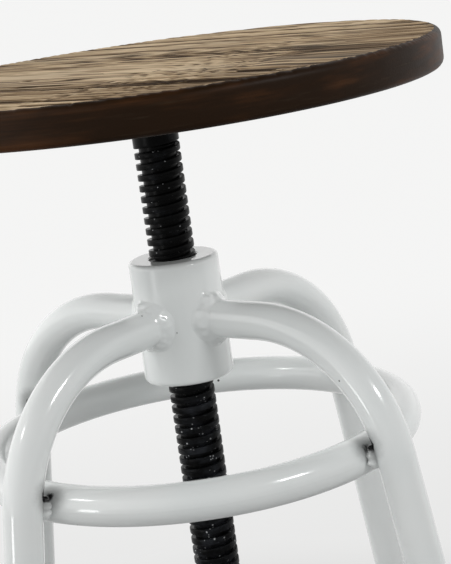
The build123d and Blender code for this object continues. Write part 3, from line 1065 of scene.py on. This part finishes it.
# ---- welds -------------------------------------------------------------------------------------
@dataclass
class HubWeld:
    """The lumpy weld collar round a leg's root, softened by the paint on it."""

    corner: Corner
    hub_radius: float = 27.5 * MM
    tube_radius: float = 11.4 * MM
    reach_hub: float = 5.2 * MM
    reach_leg: float = 6.5 * MM
    hub_wander: float = 1.1 * MM    # how far the collar's edge strays on the hub
    leg_wander: float = 1.6 * MM    # and on the leg
    bulge: float = 0.9 * MM
    lump: float = 0.6 * MM
    ripple: float = 0.12 * MM
    ripples: int = 17
    crater_angle: float = 0.62 * math.pi
    crater_width: float = 0.16      # radians
    crater_reach: float = 2.2 * MM
    crater_rise: float = 1.0 * MM
    sunk: float = 0.05 * MM         # the collar's edges lie this far under the tubes' faces
    root_depth: float = 0.9 * MM
    around: int = 144
    across: int = 14

    def build(self, finish: bpy.types.Material, height: float) -> bpy.types.Object:
        """Builds the collar.

        Args:
            finish: The paint.
            height: The height of the legs' roots.

        Returns:
            The weld.
        """
        weave = Weave(100 + self.corner.number)
        t = np.linspace(0, 2 * math.pi, self.around, endpoint=False)
        ring_x, ring_y = 2.0 * np.cos(t) + 20.0, 2.0 * np.sin(t) + 20.0
        wander_hub = weave.at(ring_x * 0.9, ring_y * 0.9, 2)
        wander_leg = weave.at(ring_x * 1.1 + 40, ring_y * 1.1, 2)
        crater = np.exp(-((t - self.crater_angle) / self.crater_width) ** 2)
        crater *= 1.0 if self.corner is Corner.FRONT_RIGHT else 0.4
        v = self.tube_radius * np.cos(t)
        w = self.tube_radius * np.sin(t)
        u = np.sqrt(self.hub_radius**2 - v**2)
        hub_normal = np.column_stack((u, v, 0 * t)) / self.hub_radius
        leg_normal = np.column_stack((0 * t, np.cos(t), np.sin(t)))
        root = np.column_stack((u, v, w))
        spread = leg_normal - (leg_normal * hub_normal).sum(1)[:, None] * hub_normal
        spread /= np.linalg.norm(spread, axis=1)[:, None]
        reach = (self.reach_hub + self.hub_wander * wander_hub + self.crater_reach * crater)[:, None]
        toe_hub = root + spread * reach
        flat = np.hypot(toe_hub[:, 0], toe_hub[:, 1])[:, None]
        toe_hub[:, :2] *= (self.hub_radius - self.sunk) / flat
        reach = (self.reach_leg + self.leg_wander * wander_leg)[:, None]
        toe_leg = root + reach * np.array([1.0, 0.0, 0.0]) - self.sunk * leg_normal
        lean = hub_normal + leg_normal
        lean /= np.linalg.norm(lean, axis=1)[:, None]
        control = 0.45 * root + 0.55 * (toe_hub + toe_leg) / 2
        ripple = self.ripple * np.sin(t * self.ripples + 2.0 * wander_leg)
        rings = []
        for step in range(self.across + 1):
            s = step / self.across
            lumps = self.lump * weave.at(ring_x * 1.4 + 1.6 * s, ring_y * 1.4 + 60, 2)
            swell = (self.bulge + lumps + ripple + self.crater_rise * crater) * math.sin(math.pi * s) ** 2
            rings.append((1 - s) ** 2 * toe_hub + 2 * s * (1 - s) * control + s * s * toe_leg
                         + lean * swell[:, None])
        rings.append(root - lean * self.root_depth)
        points = np.vstack(rings)
        a = self.corner.azimuth
        x = points[:, 0] * math.cos(a) - points[:, 1] * math.sin(a)
        y = points[:, 0] * math.sin(a) + points[:, 1] * math.cos(a)
        points = np.column_stack((x, y, points[:, 2] + height))
        faces, count, n = [], len(rings), self.around
        for row in range(count):
            here, there = row * n, (row + 1) % count * n
            for k in range(n):
                m = (k + 1) % n
                faces.append((here + k, there + k, there + m, here + m))
        weld = solid(f"hub_collar_{self.corner.label}", points, faces, [finish])
        outward(weld)
        weld.data.set_sharp_from_angle(angle=math.radians(50))
        stands_for(weld, f"hub_weld_{self.corner.label}", Body.FRAME)
        LOG.info("%s: %d faces", weld.name, len(faces))
        return weld


@dataclass
class RingWeld:
    """The two short lumpy welds in the crossing of the foot ring and a leg."""

    corner: Corner
    side: float = 8.0 * MM          # from the crossing to each weld's middle, along the ring
    outset: float = 1.4 * MM        # and outwards
    rise: float = 2.0 * MM          # and up
    half_length: float = 7.2 * MM
    radius: float = 3.6 * MM
    flatness: tuple[float, float] = (0.9, 1.15)  # the section's size outwards and along the ring
    wander: float = 0.5 * MM
    lump: float = 0.22              # shares of the radius
    ripple: float = 0.10
    rows: int = 22
    around: int = 20

    def bead(self, name: str, weave: Weave, crossing: np.ndarray, directions: tuple[np.ndarray, ...],
             finish: bpy.types.Material) -> bpy.types.Object:
        """One lumpy bead that tapers to a point at both ends.

        Args:
            name: Its name.
            weave: The noise of its lumps.
            crossing: The place that it stands beside.
            directions: The directions outwards, along the ring away from the leg, and down the leg.
            finish: The paint.

        Returns:
            The bead.
        """
        out, aside, down = directions
        wide, high = self.flatness
        angles = 2 * math.pi * np.arange(self.around) / self.around
        section = np.cos(angles)[:, None] * out * wide + np.sin(angles)[:, None] * aside * high
        rings = []
        for share in np.arange(self.rows + 1) / self.rows:
            swell = math.sqrt(max(0.0, 1 - (2 * share - 1) ** 2))
            lumps = 1 + self.lump * weave.at(np.full(self.around, share * 4.2 + 3), np.cos(angles) + 9.3, 2)
            lumps += self.ripple * math.sin(share * 19)
            stray = self.wander * weave.at(np.array(share * 2.5), np.array(7.5))
            centre = crossing + aside * (self.side + stray) + down * (share - 0.5) * 2 * self.half_length
            rings.append(centre + self.radius * swell * lumps[:, None] * section)
        points = np.vstack([rings[0][:1], *rings[1:-1], rings[-1][:1]])
        faces, last = [], len(points) - 1
        for k in range(self.around):
            n = (k + 1) % self.around
            faces.append((0, 1 + k, 1 + n))
            for base in range(1, 1 + (self.rows - 2) * self.around, self.around):
                faces.append((base + k, base + self.around + k, base + self.around + n, base + n))
            base = 1 + (self.rows - 2) * self.around
            faces.append((base + k, last, base + n))
        return solid(name, points, faces, [finish])

    def build(self, finish: bpy.types.Material, contact: float, height: float,
              splay: float) -> list[bpy.types.Object]:
        """Builds the welds.

        Args:
            finish: The paint.
            contact: How far from the axis the tubes meet.
            height: The height at which they meet.
            splay: The lean of the leg in radians.

        Returns:
            The two welds of the crossing.
        """
        pieces = []
        cos, sin = math.cos(self.corner.azimuth), math.sin(self.corner.azimuth)
        out, along = np.array([cos, sin, 0.0]), np.array([-sin, cos, 0.0])
        down = np.array([math.sin(splay) * cos, math.sin(splay) * sin, -math.cos(splay)])
        crossing = out * (contact + self.outset) + np.array([0.0, 0.0, height + self.rise])
        for number, hand in enumerate((-1.0, 1.0)):
            weave = Weave(300 + 2 * self.corner.number + number)
            weld = self.bead(f"ring_bead_{self.corner.label}_{number}", weave, crossing,
                             (out, along * hand, down), finish)
            outward(weld)
            stands_for(weld, f"ring_weld_{self.corner.label}", Body.FRAME)
            pieces.append(weld)
        LOG.info("ring welds %s: 2 beads", self.corner.label)
        return pieces


# ---- sub-assemblies ----------------------------------------------------------------------------
def dress(names: list[str], finish: bpy.types.Material) -> None:
    """Gives CAD nodes a finish.

    Args:
        names: The nodes' names.
        finish: The finish that takes the place of what they had.
    """
    for name in names:
        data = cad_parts[name].data
        data.materials.clear()
        data.materials.append(finish)
        LOG.info("%s: %s", name, finish.name)


@dataclass
class TubeFrame:
    """The white frame: hub, legs, foot ring and foot caps of the CAD model, with lumpier welds."""

    hub_middle: float = HUB_MIDDLE
    crossing_out: float = 138.1 * MM     # where the foot ring touches the legs
    crossing_height: float = 310.3 * MM
    splay: float = 10.0                  # degrees that the legs lean there

    def build(self, coat: bpy.types.Material) -> None:
        """Builds the welds at the hub and the ring."""
        for corner in Corner:
            HubWeld(corner).build(coat, self.hub_middle)
            RingWeld(corner).build(coat, self.crossing_out, self.crossing_height, math.radians(self.splay))

    def dress(self, coat: bpy.types.Material, rubber: bpy.types.Material) -> None:
        """Finishes the tubes and the foot caps."""
        labels = [corner.label for corner in Corner]
        dress(["hub", "foot_ring", *(f"leg_{label}" for label in labels)], coat)
        dress([f"foot_cap_{label}" for label in labels], rubber)


@dataclass
class ScrewSeat:
    """What turns on the frame: the board and the spindle, with the steel under the seat and the stop."""

    board: SeatBoard
    spindle: ThreadedSpindle
    plate: tuple[str, ...] = ("seat_plate", "plate_weld")
    fixings: tuple[str, ...] = ("seat_screws", "stop_washer", "keeper_washer", "spring_washer", "stop_bolt")

    def build(self, top: bpy.types.Material, side: bpy.types.Material, black: bpy.types.Material) -> None:
        """Builds the board and the spindle."""
        self.board.build(top, side)
        self.spindle.build(black)

    def dress(self, paint: bpy.types.Material, zinc: bpy.types.Material) -> None:
        """Finishes the plate and the fixings."""
        dress(list(self.plate), paint)
        dress(list(self.fixings), zinc)


# ---- studio ------------------------------------------------------------------------------------
@dataclass(frozen=True)
class Viewpoint:
    """Where the camera stands and how it is held, about the hub's middle."""

    position: tuple[float, float, float] = (-0.0256, -1.0545, 0.2459)
    heading: float = -2.995
    tilt: float = 77.749
    roll: float = -7.956
    lens: float = 113.27
    sensor: float = 36.0
    far: float = 60.0

    def build(self) -> bpy.types.Object:
        """Builds the camera and makes it the scene's.

        Returns:
            The camera.
        """
        data = bpy.data.cameras.new("camera")
        data.lens = self.lens
        data.sensor_width = self.sensor
        data.clip_end = self.far
        camera = bpy.data.objects.new("camera", data)
        bpy.context.scene.collection.objects.link(camera)
        held = (Matrix.Rotation(math.radians(self.heading), 4, "Z")
                @ Matrix.Rotation(math.radians(self.tilt), 4, "X")
                @ Matrix.Rotation(math.radians(self.roll), 4, "Z"))
        spot = Vector(self.position) + Vector((0.0, 0.0, HUB_MIDDLE))
        camera.matrix_world = Matrix.Translation(spot) @ held
        bpy.context.scene.camera = camera
        return camera


@dataclass(frozen=True)
class Softbox:
    """A rectangular light that hangs round the stool and faces it."""

    name: str
    azimuth: float                # its direction from the stool in degrees from +X
    elevation: float              # its height above the target in degrees
    size: tuple[float, float]
    power: float                  # watts
    distance: float = 1.8
    target: float = 0.4           # the height on the spindle's axis that it faces

    def build(self) -> bpy.types.Object:
        """Hangs the light.

        Returns:
            The light.
        """
        data = bpy.data.lights.new(self.name, "AREA")
        data.shape = "RECTANGLE"
        data.size, data.size_y = self.size
        data.energy = self.power
        lamp = bpy.data.objects.new(self.name, data)
        bpy.context.scene.collection.objects.link(lamp)
        a, e = math.radians(self.azimuth), math.radians(self.elevation)
        way = Vector((math.cos(a) * math.cos(e), math.sin(a) * math.cos(e), math.sin(e)))
        lamp.location = Vector((0.0, 0.0, self.target)) + self.distance * way
        lamp.rotation_mode = "QUATERNION"
        lamp.rotation_quaternion = (-way).to_track_quat("-Z", "Y")
        return lamp


@dataclass(frozen=True)
class Studio:
    """A pale floor, a white surround that is brightest on the left, two softboxes and a panel."""

    floor_radius: float = 40.0
    floor_sides: int = 96
    floor_color: Color = (0.40, 0.40, 0.40)
    unlit: Color = (0.0, 0.0, 0.0)
    back_far: Color = (0.910, 0.910, 0.905)
    back_near: Color = (0.80, 0.80, 0.795)
    sky: Color = (1.0, 1.0, 0.995)
    low: tuple[float, float, float, float] = (1.66, 0.85, 0.50, 1.15)   # left, right, front, back
    high: tuple[float, float, float, float] = (1.40, 0.45, 0.36, 0.95)  # left, right, front, back
    floor_glow: tuple[float, float, float] = (0.15, 0.08, 0.10)         # left, right, front
    under_glow: float = 0.03                                            # straight below the stool
    lamps: tuple[Softbox, ...] = (
        Softbox("softbox_right", -45.0, 33.0, (0.40, 0.17), 8.6),
        Softbox("softbox_left", -165.0, 38.0, (0.30, 0.13), 2.2),
        Softbox("panel_left", -149.0, -7.0, (0.34, 0.20), 1.6))

    @staticmethod
    def sides(east: Wire, north: Wire) -> tuple[Wire, ...]:
        """How far a place lies to the left, right, front and back of the axis.

        Args:
            east: How far it lies along X.
            north: How far it lies along Y.

        Returns:
            The four shares, which add up to 1.
        """
        total = east * east + north * north + 0.0001
        ways = (east * -1.0, east, north * -1.0, north)
        return tuple(way.larger(0.0) * way.larger(0.0) / total for way in ways)

    def floor(self) -> None:
        """Builds the round floor: bright behind and beside the stool, dimmer in front."""
        material, graph = surface("pale_floor")
        east, north, _ = graph.split(graph.place())
        back = (north + 0.35 * east.larger(east * -1.0)).step(0.15, 0.65)
        near = (east * east + north * north).step(0.8, 0.12)
        around = 0.0
        for part, glow in zip(self.sides(east, north), self.floor_glow):
            around = part * glow + around
        level = back + (1.0 - back) * (near * self.under_glow + (1.0 - near) * around)
        paint = graph.mix(back, self.floor_color, self.unlit)
        diffuse = graph.node("ShaderNodeBsdfDiffuse", {}, {"Color": paint})
        glow_color = graph.mix(north.step(0.3, 1.7), self.back_near, self.back_far)
        glow = graph.node("ShaderNodeEmission", {}, {"Color": glow_color, "Strength": level})
        both = graph.node("ShaderNodeAddShader", {}, {0: diffuse.outputs[0], 1: glow.outputs[0]})
        graph.node("ShaderNodeOutputMaterial", {}, {"Surface": both.outputs[0]})
        angles = np.arange(self.floor_sides) * 2 * math.pi / self.floor_sides
        points = self.floor_radius * np.column_stack((np.cos(angles), np.sin(angles), 0 * angles))
        solid("floor", points, [tuple(range(self.floor_sides))], [material], smooth=False)

    def surround(self) -> None:
        """Lights the world: brightest on the left and behind, dim in front, dark straight above."""
        world = bpy.data.worlds.new("studio")
        world.use_nodes = True
        bpy.context.scene.world = world
        graph = Graph(world.node_tree)
        east, north, up = graph.split(graph.out("ShaderNodeTexCoord", "Generated"))
        low, top = up.step(0.55, 0.15), up.step(0.6, 0.95)
        high = 1.0 - low - top
        level = 0.0
        for part, near_floor, above in zip(self.sides(east, north), self.low, self.high):
            level = part * (low * near_floor + high * above) + level
        glow = graph.node("ShaderNodeBackground", {}, {"Color": self.sky, "Strength": level})
        graph.node("ShaderNodeOutputWorld", {}, {"Surface": glow.outputs[0]})

    def build(self) -> None:
        """Builds the floor, the surround and the softboxes."""
        self.floor()
        self.surround()
        for lamp in self.lamps:
            lamp.build()
        LOG.info("studio: floor, surround, two softboxes and a panel")


def main() -> None:
    """Builds the stool and its studio."""
    logging.basicConfig(level=logging.INFO, format="%(name)s: %(message)s")
    bpy.context.scene.view_settings.view_transform = "Standard"
    Viewpoint().build()
    Studio().build()
    coat = PowderCoat().material()
    seat = ScrewSeat(SeatBoard(), ThreadedSpindle())
    seat.build(BrushedTop().material(), StainedEdge().material(), BlackSpindleSteel().material())
    seat.dress(SatinBlackPaint().material(), ZincPlate().material())
    tubes = TubeFrame()
    tubes.build(coat)
    tubes.dress(coat, FootRubber().material())


if __name__ == "__main__":
    main()
